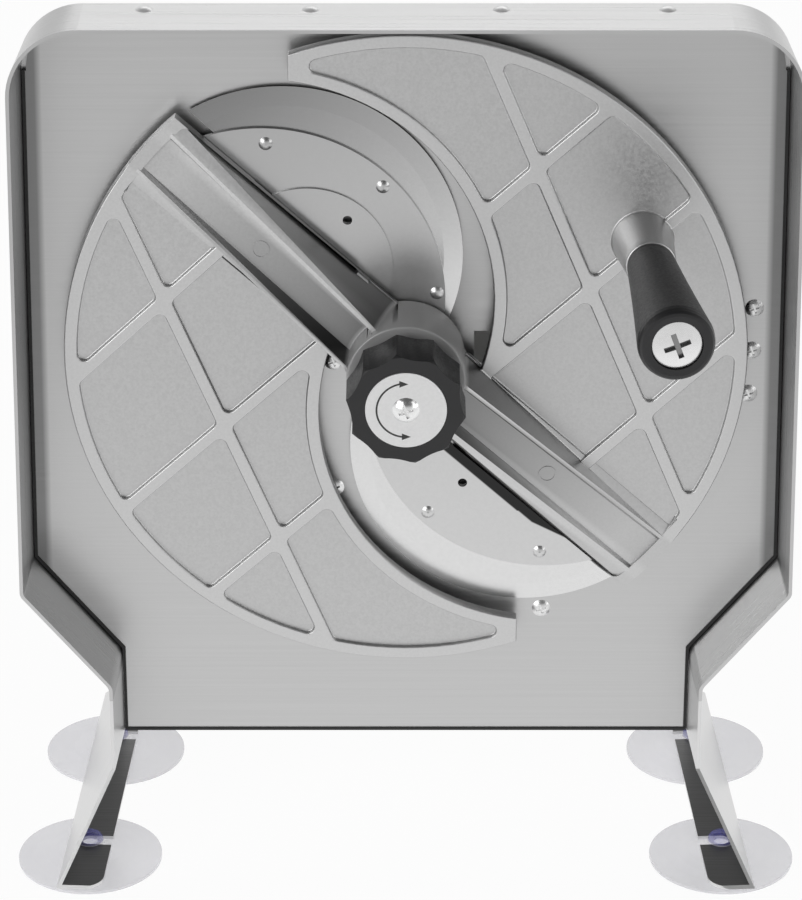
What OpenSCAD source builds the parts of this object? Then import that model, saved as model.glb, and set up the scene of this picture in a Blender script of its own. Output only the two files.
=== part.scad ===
// Hand-cranked rotary vegetable slicer.
// A cast two-lobe gauge plate and two crescent blades turn together in front of a sheet-metal
// back plate. Food is pushed through the plate from a trough behind it, the blades cut it, and
// the slices pass between each blade and the concave edge of a lobe to the front.
// X runs to the right, Y to the back and Z up. The table is at Z = 0.

/* [Rotor] */
// Radius of the cast gauge plate
rotor_r = 145; // [143:0.5:147]
// Height of the crank axis above the table
axis_z = 241; // [239:0.5:243]
// Direction of the first arm, anticlockwise from the right, seen from the front
arm_angle = 137.4; // [134:0.2:140]
// Distance from the axis to the straight edge of an arm
arm_edge = 15.8; // [14:0.2:17]
// Height of the arms and hub above the back plate
hub_height = 34; // [32:0.5:36]
// Distance from the axis to the crank grip
crank_r = 114.5; // [111:0.1:117]
// Direction of the crank grip from the axis
crank_angle = 27.9; // [27:0.1:31]
// How much the crank grip leans outwards
crank_splay = 4.2; // [3:0.1:6]
// Radius of a blade's cutting edge
blade_r = 75.5; // [74:0.5:77]

/* [Frame] */
// Thickness of the sheet metal
sheet_t = 1.5; // [1.2:0.1:1.6]
// How far the shroud stands in front of the back plate
shroud_depth = 35; // [32:1:40]
// Half width of the shroud at the top
top_half_w = 162; // [160:1:166]
// Half width of the shroud at the shoulders
shoulder_half_w = 166; // [164:1:170]
// Height of the shroud's top
top_z = 397; // [394:1:402]
// Height where the side walls turn inwards
shoulder_z = 139.5; // [136:0.5:144]
// Height where the slanted walls meet the legs
knee_z = 94; // [92:0.5:98]
// Half width at the legs
leg_half_w = 129; // [127:0.5:131]
// Radius of the shroud's top corners
corner_r = 30; // [26:1:34]
// How much the walls lean in from the front edge to the plate
splay = 2; // [1.5:0.1:2.4]

/* [Feed] */
// Inside width of the feed trough
trough_w = 98; // [90:1:98]
// Length of the feed trough behind the plate
trough_len = 147; // [140:1:160]

/* [Hidden] */
$fn = 64;
big = 400;

// Front face of the back plate; the origin lies under the middle of the whole object
plate_y = -36;

// Layers in front of the back plate, measured forwards from its front face
blade_h = 1.8;
blade_t = 1.5;
carrier_h = blade_h + blade_t;
carrier_t = 1.5;
bar_h = carrier_h + carrier_t;
bar_t = 1;
panel_h = 5.4;
panel_top = 9.2;
rib_top = 11;
hub_rear = 6.4;

// Outline of the lobes
concave_c = [62.6, -26.4];
concave_r = 99.7;
tip_x = 48.6;
border_w = 5.5;
arm_inner = -18.5;
hub_r = 25;

// Ribs of the first lobe: one long rib and three cross ribs
rib_w = 5.2;
pocket_r = 3;
rib_past = 60;
rib_run = 8;
rib_nodes = [[-102.7, 28.6], [-78.4, -29.1], [-55.5, -85]];
rib_cross = [[[-138.4, -7.7], [-80.1, 47.4]], [[-119.1, -69.6], [-41.9, 0.7]],
    [[-82.2, -111.1], [-39.5, -72.2]]];

// Arm sections: where the channel's corners lie across the arm, at the hub and at the rim
arm_start = 18;
arm_end = 141;
arm_base = panel_top - 0.6;
arm_step = 0.3;
arm_top = [hub_height - 3, rib_top - 0.1];
arm_foot = panel_top + arm_step;
arm_dip = [9, 1.65];
arm_corners = [[7.2, 5.6, 3.6, -9.6, -13, -14.6], [9.5, 8, 7, -10, -11.5, -13]];
pin_mark_at = [80, -2.6];
pin_mark_r = [3.8, 3.2];
pin_mark_rise = 0.25;
fuse = 0.4;

// Blades and the plates that carry them
blade_c = [-51.5, 44.1];
bevel_w = 8;
edge_t = 0.2;
blade_cut = 19.3;
carrier_c = [-60.3, 25.1];
carrier_r = 77;
carrier_back = -12;
blade_lap = 13;
bar_c = [-41.4, 39.6];
bar_r = 36;
blade_rivet_at = [[-58.3, 95.3], [-9.6, 76], [13.1, 27.7]];
blade_rivet_r = 2;
blade_rivet_head = [2.9, 1.1];
blade_rivet_sunk = 0.3;
carrier_rim = 5;
carrier_hole_at = [-24.5, 61.3];
carrier_hole_r = 2;

// Shaft, its bearing and the drive to the gauge plate
shaft_r = 8;
run_gap = 0.05;
collar_r = 22;
collar_h = 0.6;
collar_gap = 0.5;
thread_r = 5;
thread_end = 52;
pin_r = 2.5;
pin_half = 14;
pin_h = 25;
pin_gap = 0.1;
pin_play = 0.6;
cavity_r = 20.5;
cavity_top = 16;
bush_r = 11;
bar_hub_r = 20;
shaft_hole_r = 12;
housing_flange_r = 26.5;
housing_flange_t = 5;
housing_screw_ring = 20.5;
housing_screw_angles = [45 : 90 : 315];
housing_r = 16;
housing_len = 45;
bush_len = 17;
washer_t = 1.8;
washer_r = 13;
circlip_t = 1.2;
circlip_r = 11;
circlip_mouth = 4;
groove_depth = 1;
shaft_tail = 4;
shoulder_step = 1;
collar_screw_ring = 16.5;
collar_screw_angles = [30, 150, 270];
collar_screw_head = [3.2, 1.8];
hollow_gap = 0.6;
hollow_side = 2;
hollow_len = 100;

// Thickness knob
knob_r = 25.3;
knob_rear = hub_height + 0.05;
knob_start = 9;
knob_skirt = 40;
knob_skirt_r = 15;
knob_top = 62.2;
knob_edge = 1.5;
knob_break = 1.5;
knob_lobes = 10;
scallop_r = 28;
scallop_at = 50.8;
label_r = 16.9;
label_t = 1;
label_sunk = 0.8;
label_gap = 0.2;
knob_screw_head = [5.7, 2.4];
knob_screw_len = 6;
insert_r = 7.5;
insert_end = 54;

// Crank grip
crank_at = crank_r * [cos(crank_angle), sin(crank_angle)];
boss_r = 13.2;
boss_draft = 2.6;
boss_top = 36;
spindle_r = 5;
spindle_sunk = 20;
grip_base = boss_top + 0.5;
grip_end = 117;
grip_seat = 113.4;
grip_gap = 0.06;
grip_base_r = [9.4, 10.2];
grip_waist = [12.2, 72];
grip_end_r = 15.6;
grip_nose = 5;
grip_face_r = 13;
cap_r = 10;
cap_rise = 1.3;
cap_rim = 2;
cap_gap = 0.4;
cap_lift = 0.3;
cap_shank_r = 3;
cap_shank = 10;
boss_sunk = 2;
grip_reach = boss_top + (grip_end - boss_top) * cos(crank_splay) + grip_face_r * sin(crank_splay);

// Feed trough and pusher
opening_left = 29;
opening_floor = -88;
opening_top = 8;
trough_top = 22;
trough_round = 34;
flange_t = 1.5;
trough_front = sheet_t + flange_t;
trough_end = sheet_t + flange_t + trough_len;
pusher_gap = 1;
pusher_front = trough_end - 38;
pusher_t = 6;
sled_t = 3;
pusher_top = 12;
sled_top = -46;
spike_len = 11;
spike_r = 1.8;
spike_tip_r = 0.3;
spike_pitch = [28, 24];
stem_r = 6;
stem_sunk = 14;
push_knob_end = grip_reach - 2 * plate_y;
push_knob_r = 20;
push_neck_r = 10;
knob_neck = trough_end + 6;
flange_outline = [[-42, 32], [155, 32], [155, -62], [92, -134], [-42, -134]];
plate_screw_at = [[148, 18.6], [147.7, -1], [146.8, -21.3], [-30.7, -66.3], [59.6, -125.8], [-31, -6.2]];
screw_hole_r = 2;
screw_head_r = 4;
screw_head_rise = 1.3;
screw_tail = 1.8;
nut_r = 4;
nut_t = 3.2;
recess_angle = 20;
recess_reach = 0.55;
recess_depth = 0.7;
recess_width = 0.4;

// Feet
leg_top_z = 88;
lean_z = 54;
foot_x = 152;
foot_z = 7;
foot_w = 20;
foot_front = -60;
foot_rear = 115;
lean_rear = 50;
cup_x = 142;
cup_y = [-21, 73];
foot_corner_r = 9;
cup_r = 32;
cup_rim = 4;
cup_edge = 1.2;
cup_shoulder = [3, 6];
cup_slope_z = 3.2;
cup_hollow = 2.6;
neck_r = 3.5;
neck_gap = 0.1;
nub_r = 6;
nub_side = 4;
nub_rise = 4.5;
through = 1;

// Back plate, its edges and the shroud's rear edge
plate_bottom = 55;
seal_edge = 3.7;
seal_w = 1.35;
seal_proud = 0.5;
plate_inset = seal_edge + seal_w;
return_inset = [2.9, 7.9];
return_y = 2;
plate_lip = 9;
rear_y = 3.6;
toe_in = atan(splay / shroud_depth);

// The shroud band's outer line, bends and lean
band_path = [[-leg_half_w, leg_top_z], [-leg_half_w, knee_z], [-shoulder_half_w, shoulder_z],
    [-top_half_w, top_z], [top_half_w, top_z], [shoulder_half_w, shoulder_z],
    [leg_half_w, knee_z], [leg_half_w, leg_top_z]];
bend_r = 5;
weld = 0.3;
proud = 0.02;
band_radii = [0, bend_r, bend_r, corner_r, corner_r, bend_r, bend_r, 0];
band_last = len(band_path) - 1;
lean_in = splay * (shroud_depth + rear_y) / shroud_depth;

// Rivets in the top of the shroud
top_rivet_x = [-107, -39, 39, 107];
top_rivet_y = -6;
top_slope = atan(lean_in / (shroud_depth + rear_y));
rivet_seat = top_z - splay * (shroud_depth + top_rivet_y) / shroud_depth;
rivet_head = [3.6, 1.4];
rivet_tail = [3.2, 1.2];
rivet_r = 2;
rivet_grip = 3.84;

// Lip at the top of the back plate, and the shroud's top corners
flange_reach = 14;
flange_half = 122;
lip_gap = 0.1;
lip_root = 4;
flange_z = top_z - sheet_t - lean_in - lip_gap;
corner_z = top_z - corner_r;
corner_x = top_half_w - corner_r;

// Spring in the hollow of the hub
spring_wire_r = 0.9;
spring_r = 11.5;
spring_turns = 3;
spring_rear = bar_h + bar_t + spring_wire_r;
spring_rise = cavity_top - spring_wire_r - spring_rear;
spring_steps = 12;
spring_sides = 6;
spring_tube_r = 0.98 * spring_wire_r;

// Stem and spikes of the pusher
stem_at = [opening_left + trough_w / 2, (opening_floor + pusher_top) / 2];
spike_at = [for (i = [-1 : 1]) for (j = [-1 : 1]) if (i != 0 || j != 0)
    stem_at + [spike_pitch.x * i, spike_pitch.y * j]];

// Geometry helpers
function unit(v) = v / norm(v);
function left_of(d) = [-d.y, d.x];
function heading(d) = atan2(d.y, d.x);
function turn(a, b) = atan2(a.x * b.y - a.y * b.x, a * b);
function along_arm(t, across) =
    let (a = [cos(arm_angle), sin(arm_angle)]) t * a + across * [a.y, -a.x];
function mitre(p, a, b, d) = p - (left_of(a) + left_of(b)) * d / (1 + a * b);
function bezier(p, q, r, steps) =
    [for (i = [0 : steps]) let (s = i / steps) (1 - s) * (1 - s) * p + 2 * s * (1 - s) * q + s * s * r];

// The right-hand offset of a line of points, with mitred corners
function offset_right(path, d) =
    let (n = len(path), dirs = [for (i = [0 : n - 2]) unit(path[i + 1] - path[i])])
    [for (i = [0 : n - 1]) mitre(path[i], dirs[max(i - 1, 0)], dirs[min(i, n - 2)], d)];
function strip(path, d) =
    let (inner = offset_right(path, d), n = len(path))
    concat(path, [for (i = [n - 1 : -1 : 0]) inner[i]]);

// Puts a flat shape in front of the back plate, with its height running forwards
module facing(h) {
    translate([0, plate_y, axis_z]) rotate([90, 0, 0]) translate([0, 0, h]) children();
}

// Puts a turned shape on the crank axis behind the plate, with its height running backwards
module behind(y) {
    translate([0, plate_y + y, axis_z]) rotate([-90, 0, 0]) children();
}

module twice() {
    for (turned = [0, 180]) rotate(turned) children();
}

// Everything on the blade's side of a line parallel to the arms
module half_plane(from) {
    rotate(arm_angle) translate([-big, -big - from]) square([2 * big, big]);
}

module cross_recess(size, depth) {
    width = size * recess_width;
    for (a = [recess_angle, recess_angle + 90]) rotate(a) translate([-size, -width / 2, -depth])
        cube([2 * size, width, 2 * depth]);
}

module domed_head(r, rise) {
    ball = (r * r + rise * rise) / (2 * rise);
    intersection() {
        translate([0, 0, rise - ball]) sphere(ball);
        cylinder(r = r, h = rise);
    }
}

module pan_screw(r, rise, shank_r, shank, rim = 0) {
    difference() {
        union() {
            translate([0, 0, rim]) domed_head(r, rise);
            translate([0, 0, -shank]) cylinder(r = shank_r, h = shank);
            if (rim > 0) cylinder(r = r, h = rim);
        }
        translate([0, 0, rim + rise]) cross_recess(r * recess_reach, (rim + rise) * recess_depth);
    }
}

// The frame

function run_dir(i) = unit(band_path[i + 1] - band_path[i]);
function bend_turn(i) = turn(run_dir(i - 1), run_dir(i));
function bend_reach(i) = i == 0 || i == band_last ? 0 : band_radii[i] * tan(abs(bend_turn(i)) / 2);

module band_run(i) {
    d = run_dir(i);
    from = band_path[i] + d * (bend_reach(i) - (i == 0 ? 0 : weld));
    to = band_path[i + 1] - d * (bend_reach(i + 1) - (i + 1 == band_last ? 0 : weld));
    length = norm(to - from);
    translate([from.x, plate_y, from.y]) rotate([0, -heading(d), 0]) rotate([90, 0, 90])
        linear_extrude(length)
            polygon([[-shroud_depth, 0], [-shroud_depth, -sheet_t],
                [rear_y, -sheet_t - lean_in], [rear_y, -lean_in]]);
}

// A bend stands a hair proud of the runs, which end just inside it
module band_bend(i) {
    angle = bend_turn(i);
    side = angle < 0 ? -1 : 1;
    from = band_path[i] - run_dir(i - 1) * bend_reach(i);
    centre = from + side * band_radii[i] * left_of(run_dir(i - 1));
    first = side < 0 ? heading(left_of(run_dir(i))) : heading(-left_of(run_dir(i - 1)));
    r = band_radii[i] - side * proud;
    thick = side * (sheet_t + 2 * proud);
    front = shroud_depth + proud;
    rear = -rear_y - proud;
    translate([centre.x, plate_y, centre.y]) rotate([90, 0, 0]) rotate(first)
        rotate_extrude(angle = abs(angle))
            polygon([[r, front], [r + thick, front], [r + thick + side * lean_in, rear],
                [r + side * lean_in, rear]]);
}

module at_rivets() {
    for (x = top_rivet_x) translate([x, plate_y + top_rivet_y, rivet_seat])
        rotate([-top_slope, 0, 0]) children();
}

module rivet_holes() {
    at_rivets() translate([0, 0, -2 * rivet_grip]) cylinder(r = rivet_r, h = 3 * rivet_grip);
}

module band_rivets() {
    color([0.8, 0.81, 0.82]) at_rivets() {
        domed_head(rivet_head[0], rivet_head[1]);
        translate([0, 0, -rivet_grip]) cylinder(r = rivet_r, h = rivet_grip);
        translate([0, 0, -rivet_grip]) mirror([0, 0, 1]) domed_head(rivet_tail[0], rivet_tail[1]);
    }
}

module shroud_band() {
    color([0.74, 0.75, 0.76]) difference() {
        union() {
            for (i = [0 : band_last - 1]) band_run(i);
            for (i = [1 : band_last - 1]) band_bend(i);
            band_return();
        }
        rivet_holes();
    }
}

// The band's rear edge, turned inwards behind the plate
module band_return() {
    upright(-return_y - sheet_t) linear_extrude(sheet_t) difference() {
        plate_outline(return_inset[0], leg_top_z);
        plate_outline(return_inset[1], leg_top_z - 1);
    }
}

// Black strip between the plate and the shroud, and along the plate's bottom edge
module edge_seal() {
    color([0.08, 0.08, 0.08]) upright(-sheet_t) linear_extrude(sheet_t + seal_proud) difference() {
        plate_outline(seal_edge, plate_bottom - seal_w);
        plate_outline(plate_inset, plate_bottom);
        translate([-big, corner_z]) square(2 * big);
    }
}

function wall_half(z) =
    shoulder_half_w + (top_half_w - shoulder_half_w) * (z - shoulder_z) / (top_z - shoulder_z);

// The shroud's outline seen from the front, moved inwards
module plate_outline(inset, bottom) {
    side = [[leg_half_w, bottom], [leg_half_w, knee_z], [shoulder_half_w, shoulder_z],
        [wall_half(corner_z), corner_z]];
    right = offset_right(side, -inset);
    polygon(concat(right, [for (i = [3 : -1 : 0]) [-right[i].x, right[i].y]]));
    for (s = [-1, 1]) translate([s * corner_x, corner_z]) circle(corner_r - inset);
    translate([-corner_x, corner_z - 1]) square([2 * corner_x, corner_r - inset + 1]);
}

// Puts an outline drawn from the table up against the back plate, with its height running forwards
module upright(h) {
    translate([0, plate_y - h, 0]) rotate([90, 0, 0]) children();
}

module trough_inside(width, floor, top) {
    round_r = trough_round - (trough_w - width) / 2;
    translate([opening_left + (trough_w - width) / 2, floor]) {
        translate([0, round_r]) square([width, top - floor - round_r]);
        translate([round_r, 0]) square([width - 2 * round_r, round_r + 1]);
        for (x = [round_r, width - round_r]) translate([x, round_r]) circle(round_r);
    }
}

module screw_holes() {
    for (p = plate_screw_at) translate(p) circle(screw_hole_r);
    housing_screw_holes();
}

module housing_screw_holes() {
    for (a = housing_screw_angles) rotate(a) translate([housing_screw_ring, 0]) circle(screw_hole_r);
}

module back_plate() {
    color([0.72, 0.73, 0.74]) {
        difference() {
            upright(-sheet_t) linear_extrude(sheet_t) plate_outline(plate_inset, plate_bottom);
            facing(-2 * sheet_t) linear_extrude(4 * sheet_t) {
                trough_inside(trough_w, opening_floor, opening_top);
                circle(shaft_hole_r);
                screw_holes();
            }
        }
        // Lip bent forwards under the shroud's top, and lip bent back at the bottom
        difference() {
            translate([-flange_half, plate_y - flange_reach, flange_z - sheet_t])
                cube([2 * flange_half, flange_reach + sheet_t, sheet_t]);
            rivet_holes();
        }
        translate([-flange_half, plate_y, flange_z - lip_root]) cube([2 * flange_half, sheet_t, lip_root]);
        translate([-leg_half_w + plate_inset, plate_y, plate_bottom])
            cube([2 * (leg_half_w - plate_inset), plate_lip, sheet_t]);
    }
}

// The legs: one bent sheet each, toed in towards the back

module on_leg(side) {
    mirror([side < 0 ? 1 : 0, 0, 0]) translate([leg_half_w, plate_y - shroud_depth, 0]) rotate(toe_in)
        translate([-leg_half_w, shroud_depth, 0]) children();
}

module leg(side) {
    section = strip([[leg_half_w, leg_top_z], [leg_half_w, lean_z], [foot_x, foot_z],
        [foot_x - foot_w, foot_z]], sheet_t);
    outline = [[-shroud_depth, leg_top_z], [-shroud_depth, lean_z], [foot_front, foot_z],
        [foot_rear, foot_z], [lean_rear, lean_z], [sheet_t, leg_top_z]];
    on_leg(side) difference() {
        intersection() {
            translate([0, foot_rear, 0]) rotate([90, 0, 0])
                linear_extrude(foot_rear - foot_front) polygon(section);
            translate([leg_half_w - foot_w, 0, 0]) rotate([90, 0, 90])
                linear_extrude(3 * foot_w) polygon(outline);
        }
        translate([0, 0, foot_z - through]) linear_extrude(sheet_t + 2 * through) {
            for (y = cup_y) cup_slot(y);
            foot_corner(foot_front, 1);
            foot_corner(foot_rear, -1);
        }
    }
}

module cup_slot(y) {
    slot_r = neck_r + neck_gap;
    translate([cup_x, y]) circle(slot_r);
    translate([cup_x - foot_w, y - slot_r]) square([foot_w, 2 * slot_r]);
}

// What is cut away to round an inner corner of the foot
module foot_corner(y, inwards) {
    translate([foot_x - foot_w, y]) scale([1, inwards]) difference() {
        translate([-through, -through]) square(foot_corner_r + through);
        translate([foot_corner_r, foot_corner_r]) circle(foot_corner_r);
    }
}

module left_leg() {
    color([0.74, 0.75, 0.76]) leg(-1);
}

module right_leg() {
    color([0.74, 0.75, 0.76]) leg(1);
}

module suction_cup(side, y) {
    nub_z = foot_z + sheet_t;
    skirt = bezier([neck_r + cup_shoulder[0], foot_z], [neck_r + cup_shoulder[1], cup_slope_z],
        [cup_r, cup_edge], 6);
    under = bezier([cup_r - cup_rim, 0], [cup_r / 2, cup_edge], [0, cup_hollow], 5);
    nub = bezier([0, nub_z + nub_rise], [nub_r, nub_z + nub_side], [nub_r, nub_z], 5);
    on_leg(side) translate([cup_x, y, 0]) rotate_extrude()
        polygon(concat(under, nub, [[neck_r, nub_z], [neck_r, foot_z]], skirt, [[cup_r, 0]]));
}

module cup_front_left() {
    color([0.85, 0.84, 0.93]) suction_cup(-1, cup_y[0]);
}

module cup_front_right() {
    color([0.85, 0.84, 0.93]) suction_cup(1, cup_y[0]);
}

module cup_rear_left() {
    color([0.85, 0.84, 0.93]) suction_cup(-1, cup_y[1]);
}

module cup_rear_right() {
    color([0.85, 0.84, 0.93]) suction_cup(1, cup_y[1]);
}

// The feed trough, its fasteners and the shaft's bearing

module feed_trough() {
    color([0.7, 0.71, 0.72]) {
        difference() {
            facing(-trough_front) linear_extrude(flange_t) difference() {
                polygon(flange_outline);
                circle(shaft_hole_r);
                screw_holes();
            }
            facing(-big) linear_extrude(big) trough_inside(trough_w, opening_floor, trough_top + 1);
        }
        facing(-trough_end) linear_extrude(trough_len) difference() {
            trough_inside(trough_w + 2 * sheet_t, opening_floor - sheet_t, trough_top);
            trough_inside(trough_w, opening_floor, trough_top + 1);
        }
    }
}

module trough_screws() {
    color([0.8, 0.8, 0.81]) for (p = plate_screw_at) facing(0) translate(p)
        pan_screw(screw_head_r, screw_head_rise, screw_hole_r, trough_front + nut_t + screw_tail);
}

module trough_nuts() {
    color([0.78, 0.78, 0.79]) for (p = plate_screw_at) facing(-trough_front - nut_t) translate(p)
        linear_extrude(nut_t) difference() {
            circle(nut_r, $fn = 6);
            circle(screw_hole_r);
        }
}

module bearing_housing() {
    color([0.66, 0.67, 0.68]) behind(trough_front) difference() {
        union() {
            cylinder(r = housing_flange_r, h = housing_flange_t);
            cylinder(r = housing_r, h = housing_len);
        }
        translate([0, 0, -through]) cylinder(r = bush_r, h = housing_len + 2 * through);
        translate([0, 0, -through]) linear_extrude(housing_flange_t + 2 * through) housing_screw_holes();
    }
}

module bush(y) {
    color([0.72, 0.55, 0.3]) behind(y) difference() {
        cylinder(r = bush_r, h = bush_len);
        translate([0, 0, -through]) cylinder(r = shaft_r + run_gap, h = bush_len + 2 * through);
    }
}

module front_bush() {
    bush(trough_front);
}

module rear_bush() {
    bush(trough_front + housing_len - bush_len);
}

module housing_screws() {
    seat = trough_front + housing_flange_t;
    color([0.78, 0.78, 0.79]) for (a = housing_screw_angles) behind(seat) rotate(a)
        translate([housing_screw_ring, 0]) pan_screw(screw_head_r, screw_head_rise, screw_hole_r, seat);
}

// What turns with the shaft

module main_shaft() {
    shaft_end = trough_front + housing_len + washer_t + circlip_t + shaft_tail;
    groove = trough_front + housing_len + washer_t;
    color([0.7, 0.7, 0.72]) difference() {
        union() {
            facing(-shaft_end) cylinder(r = shaft_r, h = shaft_end + hub_height - shoulder_step);
            facing(hub_height - shoulder_step)
                cylinder(r = thread_r, h = thread_end - hub_height + shoulder_step);
            facing(collar_h) cylinder(r = collar_r, h = carrier_h - collar_h);
        }
        facing(-groove - circlip_t) difference() {
            cylinder(r = shaft_r + through, h = circlip_t);
            cylinder(r = shaft_r - groove_depth, h = circlip_t);
        }
        facing(pin_h) rotate(arm_angle) rotate([0, 90, 0])
            translate([0, 0, -big / 2]) cylinder(r = pin_r, h = big);
        collar_screw_holes();
    }
}

module collar_screw_holes() {
    for (a = collar_screw_angles) facing(0) rotate(a) translate([collar_screw_ring, 0, 0])
        cylinder(r = screw_hole_r, h = hub_rear);
}

module collar_screws() {
    color([0.75, 0.75, 0.76]) for (a = collar_screw_angles) facing(bar_h + bar_t) rotate(a)
        translate([collar_screw_ring, 0, 0])
            pan_screw(collar_screw_head[0], collar_screw_head[1], screw_hole_r, bar_h + bar_t - collar_h);
}

module carried_half(c, r) {
    intersection() {
        translate(c) circle(r);
        half_plane(carrier_back);
        circle(rotor_r - carrier_rim);
    }
}

module blade_carrier() {
    color([0.78, 0.78, 0.78]) difference() {
        facing(carrier_h) linear_extrude(carrier_t) difference() {
            twice() carried_half(carrier_c, carrier_r);
            circle(shaft_r + run_gap);
            twice() translate(carrier_hole_at) circle(carrier_hole_r);
            twice() for (p = blade_rivet_at) translate(p) circle(blade_rivet_r);
        }
        collar_screw_holes();
    }
}

module drive_bar() {
    color([0.82, 0.82, 0.82]) difference() {
        facing(bar_h) linear_extrude(bar_t) difference() {
            union() {
                twice() carried_half(bar_c, bar_r);
                circle(bar_hub_r);
            }
            circle(shaft_r + run_gap);
            twice() translate(carrier_hole_at) circle(carrier_hole_r);
        }
        collar_screw_holes();
    }
}

// A turned blank with a ground bevel, cut to a crescent
module blade(turned) {
    color([0.88, 0.88, 0.88]) facing(blade_h) rotate(turned) difference() {
        translate([blade_c.x, blade_c.y, 0]) rotate_extrude()
            polygon([[0, 0], [blade_r, 0], [blade_r, edge_t], [blade_r - bevel_w, blade_t], [0, blade_t]]);
        translate([0, 0, -through]) linear_extrude(blade_t + 2 * through) {
            translate(carrier_c) circle(carrier_r - blade_lap);
            circle(collar_r + collar_gap);
            for (p = blade_rivet_at) translate(p) circle(blade_rivet_r);
            rotate(arm_angle) translate([-big, -blade_cut]) square(2 * big);
        }
    }
}

module upper_blade() {
    blade(0);
}

module lower_blade() {
    blade(180);
}

module blade_rivets() {
    rear = blade_h + blade_rivet_sunk;
    color([0.8, 0.8, 0.8]) facing(0) twice() for (p = blade_rivet_at) translate(p) {
        translate([0, 0, rear]) cylinder(r = blade_rivet_r, h = bar_h - rear);
        translate([0, 0, bar_h]) domed_head(blade_rivet_head[0], blade_rivet_head[1]);
    }
}

module drive_pin() {
    color([0.6, 0.6, 0.62]) facing(pin_h) rotate(arm_angle) rotate([0, 90, 0])
        translate([0, 0, -pin_half]) cylinder(r = pin_r, h = 2 * pin_half);
}

module thrust_washer() {
    color([0.75, 0.75, 0.76]) behind(trough_front + housing_len) difference() {
        cylinder(r = washer_r, h = washer_t);
        translate([0, 0, -through]) cylinder(r = shaft_r + run_gap, h = washer_t + 2 * through);
    }
}

module circlip() {
    color([0.35, 0.35, 0.37]) behind(trough_front + housing_len + washer_t) difference() {
        cylinder(r = circlip_r, h = circlip_t);
        translate([0, 0, -through]) cylinder(r = shaft_r - groove_depth, h = circlip_t + 2 * through);
        translate([0, -circlip_mouth / 2, -through]) cube([big, circlip_mouth, circlip_t + 2 * through]);
    }
}

// The cast gauge plate

module lobe(inset) {
    difference() {
        intersection() {
            circle(rotor_r - inset);
            rotate(arm_angle) translate([-big, -arm_edge]) square([2 * big, big]);
        }
        translate(concave_c) circle(concave_r + inset);
        translate([tip_x - inset, -big]) square([big, big]);
    }
}

module arm_strip() {
    intersection() {
        circle(rotor_r);
        rotate(arm_angle) translate([0, -arm_edge]) square([big, arm_edge - arm_inner]);
    }
}

module rib(p, q) {
    translate(p) rotate(heading(q - p)) translate([0, -rib_w / 2]) square([norm(q - p), rib_w]);
}

module ribs() {
    long = unit(rib_nodes[2] - rib_nodes[0]);
    rib(rib_nodes[0] - rib_past * long, rib_nodes[2] + rib_past * long);
    for (r = rib_cross) let (d = rib_run * unit(r[1] - r[0])) rib(r[0] - d, r[1] + d);
}

// The border and ribs of a lobe: what is left between pockets with rounded corners
module lobe_ribs() {
    difference() {
        lobe(0);
        offset(r = pocket_r, $fn = 32) offset(delta = -pocket_r) difference() {
            lobe(border_w, $fn = 120);
            ribs();
        }
    }
}

// A raised arm: a loft from its tall section at the hub to its low one at the rim
module raised_arm() {
    outer = arm_edge - arm_step;
    inner = arm_inner + arm_step;
    depth = [0, 0, 1, 1, 0, 0];
    function section(t, i) = [for (c = concat([[outer, arm_base], [outer, arm_foot]],
        [for (k = [0 : 5]) [arm_corners[i][k], arm_top[i] - depth[k] * arm_dip[i]]],
        [[inner, arm_foot], [inner, arm_base]]))
        let (p = along_arm(t, c[0])) [p.x, p.y, c[1]]];
    points = concat(section(arm_start, 0), section(arm_end, 1));
    n = len(points) / 2;
    cap = [[0, 2, 1], [0, 3, 2], [0, 4, 3], [0, 9, 4], [4, 9, 5], [5, 9, 6], [6, 9, 7], [7, 9, 8]];
    sides = [for (i = [0 : n - 1]) let (j = (i + 1) % n) for (f = [[i, j, n + i], [j, n + j, n + i]]) f];
    polyhedron(points, concat(cap, sides, [for (f = cap) [n + f[0], n + f[2], n + f[1]]]));
}

// The round mark that an ejector pin left on the floor of an arm's channel
module pin_mark() {
    floors = arm_top - arm_dip;
    fall = (floors[0] - floors[1]) / (arm_end - arm_start);
    p = along_arm(pin_mark_at[0], pin_mark_at[1]);
    translate([p.x, p.y, floors[0] - fall * (pin_mark_at[0] - arm_start)])
        rotate(arm_angle) rotate([0, atan(fall), 0]) translate([0, 0, -fuse])
            linear_extrude(fuse + pin_mark_rise) difference() {
                circle(pin_mark_r[0]);
                circle(pin_mark_r[1]);
            }
}

module gauge_plate() {
    color([0.7, 0.7, 0.7]) facing(0) difference() {
        union() {
            translate([0, 0, panel_h]) linear_extrude(panel_top - panel_h) twice() {
                lobe(0);
                arm_strip();
            }
            translate([0, 0, panel_top - fuse])
                linear_extrude(rib_top - panel_top + fuse) twice() lobe_ribs();
            twice() raised_arm();
            twice() pin_mark();
            translate([0, 0, hub_rear]) cylinder(r = hub_r, h = hub_height - hub_rear);
            crank_frame() translate([0, 0, panel_top - boss_sunk])
                cylinder(r1 = boss_r, r2 = boss_r - boss_draft, h = boss_top - panel_top + boss_sunk);
        }
        // Bore and the hollow behind the hub for the spring and the drive pin
        cylinder(r = shaft_r + run_gap, h = big);
        cylinder(r = cavity_r, h = cavity_top);
        rotate(arm_angle) translate([-pin_half - pin_play, -pin_r - pin_gap, 0])
            cube([2 * (pin_half + pin_play), 2 * (pin_r + pin_gap), pin_h + pin_r + pin_gap]);
        // Hollow behind each arm for the drive bar
        twice() rotate(arm_angle) translate([-hub_r, -arm_edge - through, 0])
            cube([hub_r + hollow_len, arm_edge + through - carrier_back + hollow_side,
                bar_h + bar_t + hollow_gap]);
        crank_frame() translate([0, 0, boss_top - spindle_sunk])
            cylinder(r = spindle_r, h = 2 * spindle_sunk);
    }
}

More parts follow.
